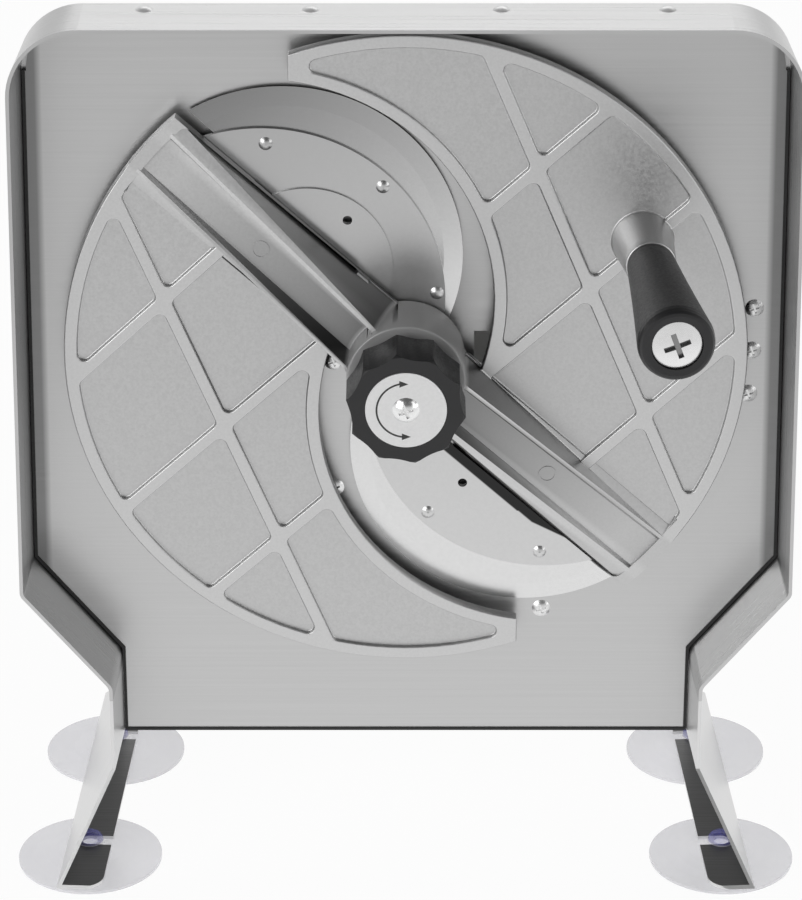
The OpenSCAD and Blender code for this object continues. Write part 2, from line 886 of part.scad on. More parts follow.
// One round wire wound between the drive bar and the hollow of the hub
module gauge_spring() {
    count = spring_turns * spring_steps;
    points = [for (i = [0 : count]) for (j = [0 : spring_sides - 1])
        let (a = 360 * i / spring_steps, b = 360 * j / spring_sides, r = spring_r + spring_tube_r * cos(b))
        [r * cos(a), r * sin(a), spring_rise * i / count + spring_tube_r * sin(b)]];
    s = spring_sides;
    walls = [for (i = [0 : count - 1]) for (j = [0 : s - 1])
        let (a = i * s + j, b = i * s + (j + 1) % s)
        for (f = [[a, b, a + s], [b, b + s, a + s]]) f];
    color([0.6, 0.6, 0.62]) facing(spring_rear)
        polyhedron(points, concat([[for (j = [s - 1 : -1 : 0]) j]], walls,
            [[for (j = [0 : s - 1]) count * s + j]]));
}

// The crank

module crank_frame() {
    translate([crank_at.x, crank_at.y, boss_top]) rotate([0, crank_splay, 0])
        translate([0, 0, -boss_top]) children();
}

module at_crank(h) {
    facing(0) crank_frame() translate([0, 0, h]) children();
}

module crank_spindle() {
    length = grip_seat + cap_lift - boss_top + spindle_sunk;
    color([0.7, 0.7, 0.72]) at_crank(boss_top - spindle_sunk) difference() {
        cylinder(r = spindle_r, h = length);
        translate([0, 0, length - cap_shank]) cylinder(r = cap_shank_r, h = 2 * cap_shank);
    }
}

module crank_cap_screw() {
    color([0.85, 0.85, 0.86]) at_crank(grip_seat + cap_lift)
        pan_screw(cap_r, cap_rise, cap_shank_r, cap_shank, cap_rim);
}

module crank_grip() {
    bore = spindle_r + grip_gap;
    shoulder = grip_end - grip_nose;
    side = bezier([grip_base_r[1], grip_base + 1], grip_waist, [grip_end_r, shoulder], 8);
    nose = bezier([grip_end_r, shoulder], [grip_end_r, grip_end], [grip_face_r, grip_end], 4);
    recess = cap_r + cap_gap;
    color([0.13, 0.13, 0.14]) at_crank(0) rotate_extrude()
        polygon(concat([[bore, grip_base], [grip_base_r[0], grip_base]], side, [for (i = [1 : 4]) nose[i]],
            [[recess, grip_end - cap_lift], [recess, grip_seat], [bore, grip_seat]]));
}

// The thickness knob

module knob_profile() {
    difference() {
        circle(knob_r);
        for (i = [0 : knob_lobes - 1]) rotate(knob_start + 360 * i / knob_lobes)
            translate([scallop_at, 0]) circle(scallop_r);
    }
}

module thickness_knob() {
    color([0.12, 0.12, 0.13]) facing(0) difference() {
        union() {
            translate([0, 0, knob_rear]) cylinder(r = knob_skirt_r, h = knob_skirt - knob_rear + fuse);
            intersection() {
                translate([0, 0, knob_skirt]) linear_extrude(knob_top - knob_skirt) knob_profile();
                rotate_extrude() polygon([[0, knob_skirt], [knob_r - knob_break, knob_skirt],
                    [knob_r, knob_skirt + knob_break], [knob_r, knob_top - knob_edge],
                    [knob_r - knob_edge, knob_top], [0, knob_top]]);
            }
        }
        translate([0, 0, knob_rear - through]) cylinder(r = insert_r, h = insert_end - knob_rear + through);
        translate([0, 0, knob_top - label_sunk]) cylinder(r = label_r + label_gap, h = knob_edge);
        translate([0, 0, insert_end]) cylinder(r = screw_hole_r, h = knob_top);
    }
}

module knob_insert() {
    color([0.75, 0.6, 0.3]) facing(knob_rear) difference() {
        cylinder(r = insert_r, h = insert_end - knob_rear);
        translate([0, 0, -through]) cylinder(r = thread_r + run_gap, h = insert_end);
    }
}

module knob_label() {
    color([0.9, 0.9, 0.9]) facing(knob_top - label_sunk) difference() {
        cylinder(r = label_r, h = label_t);
        translate([0, 0, -through]) cylinder(r = screw_hole_r, h = label_t + 2 * through);
    }
}

module knob_screw() {
    color([0.82, 0.82, 0.83]) facing(knob_top - label_sunk + label_t)
        pan_screw(knob_screw_head[0], knob_screw_head[1], screw_hole_r, knob_screw_len);
}

// The pusher that rides in the trough

module pusher() {
    width = trough_w - 2 * pusher_gap;
    floor = opening_floor + pusher_gap;
    color([0.8, 0.8, 0.81]) {
        difference() {
            facing(-pusher_front - pusher_t) linear_extrude(pusher_t) trough_inside(width, floor, pusher_top);
            pusher_stem_bore();
            spike_holes();
        }
        facing(-trough_end) linear_extrude(trough_end - pusher_front - pusher_t) difference() {
            trough_inside(width, floor, sled_top);
            trough_inside(width - 2 * sled_t, floor + sled_t, pusher_top);
        }
    }
}

module pusher_stem_bore() {
    facing(-pusher_front - pusher_t - through) translate(stem_at)
        cylinder(r = stem_r, h = pusher_t + 2 * through);
}

module spike_holes() {
    for (p = spike_at) facing(-pusher_front - pusher_t / 2) translate(p) cylinder(r = spike_r, h = pusher_t);
}

module pusher_spikes() {
    color([0.8, 0.8, 0.8]) for (p = spike_at) facing(-pusher_front - pusher_t / 2) translate(p) {
        cylinder(r = spike_r, h = pusher_t / 2);
        translate([0, 0, pusher_t / 2]) cylinder(r1 = spike_r, r2 = spike_tip_r, h = spike_len);
    }
}

module pusher_stem() {
    color([0.7, 0.7, 0.72]) facing(-knob_neck - stem_sunk) translate(stem_at)
        cylinder(r = stem_r, h = knob_neck + stem_sunk - pusher_front);
}

module pusher_knob() {
    length = push_knob_end - knob_neck;
    widest = [push_knob_r, push_knob_r];
    belly = bezier([push_neck_r, 0], [push_knob_r, push_neck_r], widest, 6);
    cap = bezier(widest, [push_knob_r, length], [0, length], 7);
    color([0.13, 0.13, 0.14]) behind(knob_neck) translate([stem_at.x, -stem_at.y, 0]) difference() {
        rotate_extrude() polygon(concat([[0, 0]], belly, [for (i = [1 : 7]) cap[i]]));
        translate([0, 0, -through]) cylinder(r = stem_r, h = stem_sunk + through);
    }
}

back_plate();
edge_seal();
shroud_band();
left_leg();
right_leg();
band_rivets();
cup_front_left();
cup_front_right();
cup_rear_left();
cup_rear_right();
feed_trough();
trough_screws();
trough_nuts();
bearing_housing();
front_bush();
rear_bush();
housing_screws();
main_shaft();
blade_carrier();
drive_bar();
collar_screws();
upper_blade();
lower_blade();
blade_rivets();
drive_pin();
thrust_washer();
circlip();
gauge_plate();
gauge_spring();
crank_spindle();
crank_cap_screw();
crank_grip();
thickness_knob();
knob_insert();
knob_label();
knob_screw();
pusher();
pusher_spikes();
pusher_stem();
pusher_knob();
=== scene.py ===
import bmesh
import bpy
import math
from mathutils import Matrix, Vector


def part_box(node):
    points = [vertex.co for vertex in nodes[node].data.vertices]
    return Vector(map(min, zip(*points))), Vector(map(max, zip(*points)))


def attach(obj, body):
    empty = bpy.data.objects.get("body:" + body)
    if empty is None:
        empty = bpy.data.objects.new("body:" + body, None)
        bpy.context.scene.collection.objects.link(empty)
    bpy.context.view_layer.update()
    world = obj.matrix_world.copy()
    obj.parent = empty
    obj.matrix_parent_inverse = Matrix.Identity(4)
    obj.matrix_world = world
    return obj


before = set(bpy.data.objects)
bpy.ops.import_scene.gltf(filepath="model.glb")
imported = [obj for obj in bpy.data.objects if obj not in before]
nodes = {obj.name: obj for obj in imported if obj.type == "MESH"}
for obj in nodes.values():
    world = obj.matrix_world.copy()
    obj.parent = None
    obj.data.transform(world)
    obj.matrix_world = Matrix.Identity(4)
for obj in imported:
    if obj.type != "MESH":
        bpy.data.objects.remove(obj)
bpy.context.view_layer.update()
MM = 0.001


def grey(level):
    return (level, level, level)


# Places that the pieces share, in metres
SHEET = 1.5 * MM
plate_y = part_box("feed_trough")[0].y - SHEET
label_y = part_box("knob_label")[0].y
shaft_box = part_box("main_shaft")
AXIS_Z = (shaft_box[0].z + shaft_box[1].z) / 2
AXIS_POINT = (0, 0, AXIS_Z)
FOOT_TOP = 8.5 * MM
VIOLET_FADE = 1 * MM

# The back plate's sides, which draw in towards the top, and the painted reflection of the side walls beside
# them
plate_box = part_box("back_plate")
SHOULDER_X = plate_box[1].x
SIDE_LEAN = 4 * MM
TOP_X = SHOULDER_X - SIDE_LEAN
SHOULDER_Z = 139.5 * MM
TOP_Z = plate_box[1].z
PLATE_PAINTED_REFLECTION = (3.5 * MM, 6.5 * MM)

# The casting: its hub, its arms and the painted shade in them, and how far its panels and ribs stand in
# front of the plate
HUB_R = 25 * MM
HUB_EDGE = (HUB_R + 0.5 * MM, HUB_R + 2 * MM)
# Radius out to which the painted shade on steep walls fades
WALL_R = 105 * MM
PANEL_TOP = 9.5 * MM
RIB_TOP = 10.8 * MM
ARM_ANGLE = math.radians(137.4)
ARM_ALONG = (math.cos(ARM_ANGLE), 0, math.sin(ARM_ANGLE))
ARM_ACROSS = (math.sin(ARM_ANGLE), 0, -math.cos(ARM_ANGLE))
ARM_END = 135 * MM
ARM_HALF = 21 * MM
ARM_SHARP = 74 * MM
# Across an arm: where painted shade darkens its channel and the flank beside the blade
ARM_SIDES = (-14 * MM, 18 * MM)
ARM_PAINTED_SHADE = [(0, grey(0)), (0.05, grey(1)), (0.5, grey(1)), (0.6, grey(0)),
             (0.74, grey(0)), (0.8, grey(0.7)), (0.95, grey(0.7)), (1, grey(0))]

# The blades and half-discs: the painted shade on their upper left side, and the painted shadow strip below
# the right arm
SIDE_SHADE_WAY = (-math.sqrt(0.5), 0, math.sqrt(0.5))
SIDE_SHADE_SPAN = (10 * MM, 140 * MM)
STRIP_INNER = (-8 * MM, -5 * MM)
STRIP_TAPER = (-122 * MM, -95 * MM)
STRIP_EDGE = (-15.5 * MM, -22.8 * MM)
STRIP_SOFT = 0.6 * MM
STRIP_SHADOW_TONE = grey(0.035)

# The cap in the crank grip's end and the painted shade in its cross recess
cap_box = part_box("crank_cap_screw")
CAP_R = 10 * MM
CAP_LEAN = math.radians(4.2)
CAP_WAY = (math.sin(CAP_LEAN), -math.cos(CAP_LEAN), 0)
CAP_POINT = (cap_box[1].x - CAP_R, cap_box[0].y, (cap_box[0].z + cap_box[1].z) / 2)
CAP_SHADE_DEPTH = (-1 * MM, -0.7 * MM)
CAP_MIDDLE = (6 * MM, 7 * MM)

# Stretch of the noise that draws brushed lines: small along the lines
ALONG_X = (7, 300, 900)
ALONG_Y = (300, 7, 900)
ALONG_BAND = (7, 900, 7)
TOOL_MARKS = (700, 700, 700)

# Noise levels that count as low and high
WIDEST = (0.2, 0.8)
WIDE = (0.3, 0.7)
NARROW = (0.34, 0.66)
MIDDLE = (0.35, 0.65)


# Helpers for node trees

class Graph:
    """Short calls for the nodes of a material, a world or a modifier."""

    def __init__(self, tree):
        self.tree = tree

    def node(self, kind):
        return self.tree.nodes.new(kind)

    def link(self, output, socket):
        self.tree.links.new(output, socket)

    def split(self, vector):
        parts = self.node("ShaderNodeSeparateXYZ")
        self.link(vector, parts.inputs["Vector"])
        return parts.outputs

    def ramp(self, value, stops):
        ramp = self.node("ShaderNodeValToRGB")
        elements = ramp.color_ramp.elements
        while len(elements) < len(stops):
            elements.new(0.5)
        for element, (at, color) in zip(elements, stops):
            element.position = at
            element.color = (*color, 1)
        self.link(value, ramp.inputs["Fac"])
        return ramp.outputs["Color"]

    def span(self, value, low, high, to_low=0, to_high=1, interpolation="LINEAR"):
        rescale = self.node("ShaderNodeMapRange")
        rescale.interpolation_type = interpolation
        numbers = {"From Min": low, "From Max": high, "To Min": to_low, "To Max": to_high}
        for socket, number in numbers.items():
            rescale.inputs[socket].default_value = number
        self.link(value, rescale.inputs["Value"])
        return rescale.outputs["Result"]

    def math(self, operation, first, second=0.0):
        node = self.node("ShaderNodeMath")
        node.operation = operation
        for socket, value in zip(node.inputs, (first, second)):
            if isinstance(value, (int, float)):
                socket.default_value = value
            else:
                self.link(value, socket)
        return node.outputs["Value"]


class Shader(Graph):
    """A material with one principled shader, and short calls for what feeds it."""

    def __init__(self, name, color, metallic, roughness):
        self.material = bpy.data.materials.new(name)
        self.material.use_nodes = True
        super().__init__(self.material.node_tree)
        self.bsdf = self.tree.nodes["Principled BSDF"]
        self.set("Base Color", (*color, 1))
        self.set("Metallic", metallic)
        self.set("Roughness", roughness)
        self.roughness = roughness
        self.position = self.node("ShaderNodeTexCoord").outputs["Object"]

    def set(self, socket, value):
        self.bsdf.inputs[socket].default_value = value

    def feed(self, output, socket):
        self.link(output, self.bsdf.inputs[socket])

    def paint(self, color):
        """Feeds the base colour, and keeps it for a finish that adds to it."""
        self.color = color
        self.feed(color, "Base Color")

    def normal(self):
        return self.node("ShaderNodeNewGeometry").outputs["Normal"]

    def noise(self, scale, detail=3, stretch=(1, 1, 1), rough=0.5):
        mapping = self.node("ShaderNodeMapping")
        mapping.inputs["Scale"].default_value = stretch
        self.link(self.position, mapping.inputs["Vector"])
        noise = self.node("ShaderNodeTexNoise")
        noise.inputs["Scale"].default_value = scale
        noise.inputs["Detail"].default_value = detail
        noise.inputs["Roughness"].default_value = rough
        self.link(mapping.outputs["Vector"], noise.inputs["Vector"])
        return noise.outputs["Fac"]

    def shades(self, value, levels, base, spread):
        """Colours from a little below to a little above a base colour, by a noise."""
        low = tuple(c * (1 - spread) for c in base)
        high = tuple(min(1, c * (1 + spread)) for c in base)
        return self.ramp(value, list(zip(levels, (low, high))))

    def vary_roughness(self, value, levels, below, above):
        self.feed(self.span(value, *levels, self.roughness - below, self.roughness + above), "Roughness")

    def mix(self, factor, first, second):
        mix = self.node("ShaderNodeMix")
        mix.data_type = "RGBA"
        self.link(factor, mix.inputs["Factor"])
        colors = [socket for socket in mix.inputs if socket.type == "RGBA"]
        for socket, value in zip(colors, (first, second)):
            if isinstance(value, tuple):
                socket.default_value = (*value, 1)
            else:
                self.link(value, socket)
        return [socket for socket in mix.outputs if socket.type == "RGBA"][0]

    def offset(self, origin, keep):
        """Where a point lies from an origin, with the directions left out that are 0 in keep."""
        mapping = self.node("ShaderNodeMapping")
        mapping.inputs["Location"].default_value = [-o * k for o, k in zip(origin, keep)]
        mapping.inputs["Scale"].default_value = keep
        self.link(self.position, mapping.inputs["Vector"])
        return mapping.outputs["Vector"]

    def distance(self, origin):
        """How far a point lies from an origin, seen from the front."""
        measure = self.node("ShaderNodeVectorMath")
        measure.operation = "LENGTH"
        self.link(self.offset(origin, (1, 0, 1)), measure.inputs[0])
        return measure.outputs["Value"]

    def reach(self, origin, direction):
        """How far a point lies from an origin along a direction."""
        measure = self.node("ShaderNodeVectorMath")
        measure.operation = "DOT_PRODUCT"
        self.link(self.offset(origin, (1, 1, 1)), measure.inputs[0])
        measure.inputs[1].default_value = direction
        return measure.outputs["Value"]

    def bump(self, height, strength, distance):
        bump = self.node("ShaderNodeBump")
        bump.inputs["Strength"].default_value = strength
        bump.inputs["Distance"].default_value = distance
        self.link(height, bump.inputs["Height"])
        self.feed(bump.outputs["Normal"], "Normal")


# Kinds of finish

BRUSH_HEIGHT = 0.05 * MM
BRUSH_WANDER = (0.05, 0.07)


def brush_lines(shader, stretch):
    return shader.noise(1, detail=4, stretch=stretch, rough=0.7)


def brushed(name, base, stretch, roughness, spread=0.05, depth=0.12):
    """Sheet metal brushed along the direction in which the stretch is small."""
    shader = Shader(name, base, 1, roughness)
    lines = brush_lines(shader, stretch)
    shader.paint(shader.shades(lines, WIDE, base, spread))
    shader.vary_roughness(lines, WIDE, *BRUSH_WANDER)
    shader.bump(lines, depth, BRUSH_HEIGHT)
    return shader


def plate_metal(name, base, painted_dark):
    """Brushed sheet, with a painted reflection of the dark side walls beside them."""
    shader = brushed(name, base, ALONG_X, roughness=0.34, spread=0.04, depth=0.08)
    place = shader.split(shader.position)
    # Painted reflection: the plate is darker close to the side walls
    wall = shader.span(place["Z"], SHOULDER_Z, TOP_Z, SHOULDER_X, TOP_X)
    gap = shader.math("SUBTRACT", wall, shader.math("ABSOLUTE", place["X"]))
    shader.paint(shader.mix(shader.span(gap, *PLATE_PAINTED_REFLECTION, 1, 0), shader.color, painted_dark))
    return shader


CAST_ROUGHNESS = 0.4
CAST_WANDER = (0.06, 0.06)
CAST_GRAIN = 850
CAST_BUMP = 0.18
CAST_HEIGHT = 0.1 * MM
PANEL_SPREAD = 0.06
RAISED_SPREAD = 0.04
# Painted shade: how steep a wall must be, and how the shade fades with radius and along the arms
STEEP = (0.93, 0.6)
WALL_PAINTED_SHADE = (0.85, 0)
CHANNEL_PAINTED_SHADE = (0.72, 0.1)
HUB_METALLIC = 0.2


def cast_metal(name, panel, raised, wall, hub):
    """A tumbled casting: bright where it stands proud, with painted shade on steep walls and in the arms
    near the hub.
    """
    shader = Shader(name, panel, 1, CAST_ROUGHNESS)
    grain = shader.noise(CAST_GRAIN, rough=0.65)
    proud = shader.span(shader.split(shader.position)["Y"], plate_y - PANEL_TOP, plate_y - RIB_TOP)
    flat = shader.shades(grain, NARROW, panel, PANEL_SPREAD)
    worn = shader.shades(grain, NARROW, raised, RAISED_SPREAD)
    skin = shader.mix(proud, flat, worn)
    # Painted shade on steep walls, strongest near the hub
    forward = shader.span(shader.split(shader.normal())["Y"], 0, -1)
    radius = shader.distance(AXIS_POINT)
    near = shader.span(radius, HUB_R, WALL_R, *WALL_PAINTED_SHADE)
    painted_wall_shade = shader.mix(shader.math("MULTIPLY", shader.span(forward, *STEEP), near), skin, wall)
    # Painted shade in the arms' channels and flanks, strongest near the hub
    along = shader.reach(AXIS_POINT, ARM_ALONG)
    across = shader.math("MULTIPLY", shader.reach(AXIS_POINT, ARM_ACROSS), shader.math("SIGN", along))
    channel = shader.ramp(shader.span(across, *ARM_SIDES), ARM_PAINTED_SHADE)
    depth = shader.span(shader.math("ABSOLUTE", along), HUB_R, ARM_END, *CHANNEL_PAINTED_SHADE)
    painted_dark = shader.mix(shader.math("MULTIPLY", channel, depth), painted_wall_shade, wall)
    on_hub = shader.span(radius, *HUB_EDGE, 1, 0)
    shader.paint(shader.mix(on_hub, painted_dark, hub))
    shader.feed(shader.span(on_hub, 0, 1, 1, HUB_METALLIC), "Metallic")
    shader.vary_roughness(grain, WIDE, *CAST_WANDER)
    shader.bump(grain, CAST_BUMP, CAST_HEIGHT)
    return shader


MOULD_GRAIN = 900
MOULD_CLOUD = 35
MOULD_WANDER = (0.06, 0.08)
MOULD_BUMP = 0.08
MOULD_HEIGHT = 0.06 * MM


def moulded(name, base, roughness, spread=0.18):
    """Plastic with the faint grain of its mould."""
    shader = Shader(name, base, 0, roughness)
    grain = shader.noise(MOULD_GRAIN, detail=2)
    shader.paint(shader.shades(shader.noise(MOULD_CLOUD, detail=2), MIDDLE, base, spread))
    shader.vary_roughness(grain, WIDE, *MOULD_WANDER)
    shader.bump(grain, MOULD_BUMP, MOULD_HEIGHT)
    return shader


TURNED_WANDER = (0.04, 0.04)
TURNED_BUMP = 0.02
TURNED_HEIGHT = 0.03 * MM


def turned(name, base, roughness, spread=0.05):
    """Bright metal with faint tool marks."""
    shader = Shader(name, base, 1, roughness)
    marks = shader.noise(1, stretch=TOOL_MARKS)
    shader.paint(shader.shades(marks, MIDDLE, base, spread))
    shader.vary_roughness(marks, WIDE, *TURNED_WANDER)
    shader.bump(marks, TURNED_BUMP, TURNED_HEIGHT)
    return shader


def recessed(name, base, roughness, dark):
    """The bright cap of the grip, with painted shade in its cross recess."""
    shader = turned(name, base, roughness, spread=0.02)
    # Painted shade deep in the cross recess
    deep = shader.span(shader.reach(CAP_POINT, CAP_WAY), *CAP_SHADE_DEPTH, 1, 0)
    middle = shader.span(shader.distance(CAP_POINT), *CAP_MIDDLE, 1, 0)
    shader.paint(shader.mix(shader.math("MULTIPLY", deep, middle), shader.color, dark))
    return shader


GROUND_SPREAD = 0.015
GROUND_WANDER = (0.01, 0.01)


def ground(name, base, roughness, painted_side_shade):
    """Ground sheet, with painted shade to the upper left at rest, and a painted shadow strip below the
    right arm.
    """
    shader = Shader(name, base, 1, roughness)
    marks = shader.noise(1, stretch=TOOL_MARKS)
    bright = shader.shades(marks, MIDDLE, base, GROUND_SPREAD)
    # Painted shade, darker towards the upper left at rest
    lean = shader.span(shader.reach(AXIS_POINT, SIDE_SHADE_WAY), *SIDE_SHADE_SPAN)
    skin = shader.mix(lean, bright, painted_side_shade)
    # Painted shadow, a dark strip below the right arm
    across = shader.reach(AXIS_POINT, ARM_ACROSS)
    edge = shader.span(shader.reach(AXIS_POINT, ARM_ALONG), *STRIP_TAPER, *STRIP_EDGE)
    inner = shader.span(across, *STRIP_INNER, 1, 0)
    outer = shader.span(shader.math("SUBTRACT", across, edge), 0, STRIP_SOFT)
    shader.paint(shader.mix(shader.math("MULTIPLY", inner, outer), skin, STRIP_SHADOW_TONE))
    shader.vary_roughness(marks, WIDE, *GROUND_WANDER)
    return shader


LEG_METALLIC = 0.85
LEG_ROUGHNESS = 0.36
LEG_SPREAD = 0.04
LEG_BUMP = 0.1
FOOT_TONES = (grey(0.075), grey(0.11))
UPWARD = (0.9, 0.95)


def leg_metal(name, base):
    """Pale sheet on the sides, dark on the upward face of the foot."""
    shader = Shader(name, base, LEG_METALLIC, LEG_ROUGHNESS)
    lines = brush_lines(shader, ALONG_BAND)
    pale = shader.shades(lines, WIDE, base, LEG_SPREAD)
    dark = shader.ramp(lines, list(zip(WIDE, FOOT_TONES)))
    upward = shader.span(shader.split(shader.normal())["Z"], *UPWARD)
    shader.paint(shader.mix(upward, pale, dark))
    shader.bump(lines, LEG_BUMP, BRUSH_HEIGHT)
    return shader


VINYL_ALPHA = 0.38
VINYL_ROUGHNESS = 0.3
VINYL_WANDER = (0.02, 0.02)
VINYL_CLOUD = 60
VINYL_TONES = ((0.91, 0.9, 0.97), (0.94, 0.93, 0.99))


def clear_vinyl(name, base, violet):
    """Soft clear vinyl, violet where it is thick above the foot."""
    shader = Shader(name, base, 0, VINYL_ROUGHNESS)
    shader.set("Alpha", VINYL_ALPHA)
    cloud = shader.noise(VINYL_CLOUD, detail=2)
    pale = shader.ramp(cloud, list(zip(WIDE, VINYL_TONES)))
    thick = shader.span(shader.split(shader.position)["Z"], FOOT_TOP, FOOT_TOP + VIOLET_FADE)
    shader.paint(shader.mix(thick, pale, violet))
    shader.vary_roughness(cloud, WIDEST, *VINYL_WANDER)
    return shader


# The materials and the pieces that wear them

# The second colour is the painted reflection beside the side walls
plate_steel = plate_metal("plate_steel", grey(0.56), painted_dark=grey(0.25))
band_steel = brushed("band_steel", grey(0.56), ALONG_BAND, roughness=0.3)
rear_steel = brushed("rear_steel", grey(0.55), ALONG_Y, roughness=0.32)
# The last colour of each is the painted shade on the upper left side
blade_steel = ground("blade_steel", grey(0.74), roughness=0.24, painted_side_shade=grey(0.26))
carrier_steel = ground("carrier_steel", grey(0.64), roughness=0.3, painted_side_shade=grey(0.48))
# The wall colour is the painted shade on steep walls and in the arms
cast = cast_metal("cast", panel=grey(0.54), raised=grey(0.61), wall=grey(0.09), hub=grey(0.42))
fastener = turned("fastener", grey(0.8), roughness=0.3)
cap_steel = turned("cap_steel", grey(0.86), roughness=0.24, spread=0.02)
# The dark colour is the painted shade in the cross recess
grip_cap = recessed("grip_cap", grey(0.88), roughness=0.26, dark=grey(0.3))
shaft_steel = turned("shaft_steel", grey(0.6), roughness=0.28)
bronze = turned("bronze", (0.62, 0.42, 0.2), roughness=0.3)
black_plastic = moulded("black_plastic", (0.014, 0.014, 0.015), roughness=0.4)
white_plastic = moulded("white_plastic", (0.78, 0.78, 0.76), roughness=0.4, spread=0.02)
label_metal = turned("label_metal", grey(0.86), roughness=0.34, spread=0.02)
label_metal.set("Metallic", 0.4)
print_black = moulded("print_black", grey(0.03), roughness=0.5)
rubber = moulded("rubber", grey(0.012), roughness=0.55)
leg_steel = leg_metal("leg_steel", grey(0.74))
cup_vinyl = clear_vinyl("cup_vinyl", (0.92, 0.91, 0.98), violet=(0.16, 0.16, 0.66))

finishes = {
    "back_plate": plate_steel, "edge_seal": rubber, "shroud_band": band_steel,
    "left_leg": leg_steel, "right_leg": leg_steel, "feed_trough": rear_steel,
    "gauge_plate": cast, "bearing_housing": cast, "crank_cap_screw": grip_cap,
    "upper_blade": blade_steel, "lower_blade": blade_steel, "blade_carrier": carrier_steel,
    "drive_bar": carrier_steel, "blade_rivets": carrier_steel, "band_rivets": label_metal,
    "knob_screw": cap_steel, "front_bush": bronze, "rear_bush": bronze, "knob_insert": bronze,
    "crank_grip": black_plastic, "thickness_knob": black_plastic, "pusher_knob": black_plastic,
    "pusher": white_plastic, "knob_label": label_metal, "main_shaft": shaft_steel,
    "drive_pin": shaft_steel, "gauge_spring": shaft_steel, "crank_spindle": shaft_steel,
    "pusher_stem": shaft_steel, "pusher_spikes": shaft_steel,
}
for name in nodes:
    if name.startswith("cup_"):
        finishes[name] = cup_vinyl

for name in nodes:
    mesh = nodes[name].data
    mesh.materials.clear()
    mesh.materials.append(finishes.get(name, fastener).material)


# Softened edges of the casting and the knob

HARD_ANGLE = math.radians(35)
FLAT_ANGLE = math.radians(0.6)
WELD_GAP = 0.005 * MM
BEVEL_STEPS = 3
CASTING_BEVEL = 0.7 * MM
KNOB_BEVEL = 0.4 * MM


def edge_picker():
    """A modifier's node group that marks hard edges, but not at the thin outer ends of the arms."""
    group = bpy.data.node_groups.new("hard_edges", "GeometryNodeTree")
    for way in ("INPUT", "OUTPUT"):
        group.interface.new_socket("Geometry", in_out=way, socket_type="NodeSocketGeometry")
    graph = Graph(group)
    offset = graph.node("ShaderNodeVectorMath")
    offset.operation = "SUBTRACT"
    offset.inputs[1].default_value = AXIS_POINT
    graph.link(graph.node("GeometryNodeInputPosition").outputs["Position"], offset.inputs[0])

    def compare(value, operation, limit):
        node = graph.node("FunctionNodeCompare")
        node.data_type = "FLOAT"
        node.operation = operation
        graph.link(value, node.inputs["A"])
        node.inputs["B"].default_value = limit
        return node.outputs["Result"]

    def reach(direction):
        product = graph.node("ShaderNodeVectorMath")
        product.operation = "DOT_PRODUCT"
        product.inputs[1].default_value = direction
        graph.link(offset.outputs["Vector"], product.inputs[0])
        return graph.math("ABSOLUTE", product.outputs["Value"])

    def both(operation, one, other):
        node = graph.node("FunctionNodeBooleanMath")
        node.operation = operation
        graph.link(one, node.inputs[0])
        graph.link(other, node.inputs[1])
        return node.outputs["Boolean"]

    angle = graph.node("GeometryNodeInputMeshEdgeAngle").outputs["Unsigned Angle"]
    is_hard = compare(angle, "GREATER_THAN", HARD_ANGLE)
    on_arm = compare(reach(ARM_ACROSS), "LESS_THAN", ARM_HALF)
    outer = compare(reach(ARM_ALONG), "GREATER_THAN", ARM_SHARP)
    left_sharp = both("AND", on_arm, outer)
    shade = graph.node("GeometryNodeSetShadeSmooth")
    shade.domain = "EDGE"
    shade.inputs["Shade Smooth"].default_value = False
    graph.link(graph.node("NodeGroupInput").outputs["Geometry"], shade.inputs["Geometry"])
    graph.link(both("AND", is_hard, left_sharp), shade.inputs["Selection"])
    mark = graph.node("GeometryNodeStoreNamedAttribute")
    mark.domain = "EDGE"
    mark.data_type = "FLOAT"
    mark.inputs["Name"].default_value = "bevel_weight_edge"
    graph.link(shade.outputs["Geometry"], mark.inputs["Geometry"])
    graph.link(both("NIMPLY", is_hard, left_sharp), mark.inputs["Value"])
    graph.link(mark.outputs["Geometry"], graph.node("NodeGroupOutput").inputs["Geometry"])
    return group


def join_triangles(piece):
    """Joins the triangles of a CAD piece to flat faces again, so that only real edges are left."""
    weld = piece.modifiers.new("weld", "WELD")
    weld.merge_threshold = WELD_GAP
    flat = piece.modifiers.new("flat", "DECIMATE")
    flat.decimate_type = "DISSOLVE"
    flat.angle_limit = FLAT_ANGLE


def add_bevel(piece, width, limit_method):
    bevel = piece.modifiers.new("soft_edges", "BEVEL")
    bevel.width = width
    bevel.segments = BEVEL_STEPS
    bevel.harden_normals = True
    bevel.limit_method = limit_method
    return bevel


casting = nodes["gauge_plate"]
join_triangles(casting)
picker = casting.modifiers.new("picker", "NODES")
picker.node_group = edge_picker()
casting_bevel = add_bevel(casting, CASTING_BEVEL, "WEIGHT")
casting_bevel.use_clamp_overlap = False
knob = nodes["thickness_knob"]
join_triangles(knob)
knob_bevel = add_bevel(knob, KNOB_BEVEL, "ANGLE")
knob_bevel.angle_limit = HARD_ANGLE


# The sign on the knob's disc

SIGN_T = 0.06 * MM
SIGN_LIFT = 0.01 * MM
ARROW_R = 12.2 * MM
ARROW_W = 0.75 * MM
ARROW_FROM = 103
ARROW_TO = 262
ARROW_STEPS = 40
HEAD_LENGTH = 3.7 * MM
HEAD_WIDTH = 3 * MM


def polar(radius, degrees):
    return (radius * math.cos(math.radians(degrees)), radius * math.sin(math.radians(degrees)))


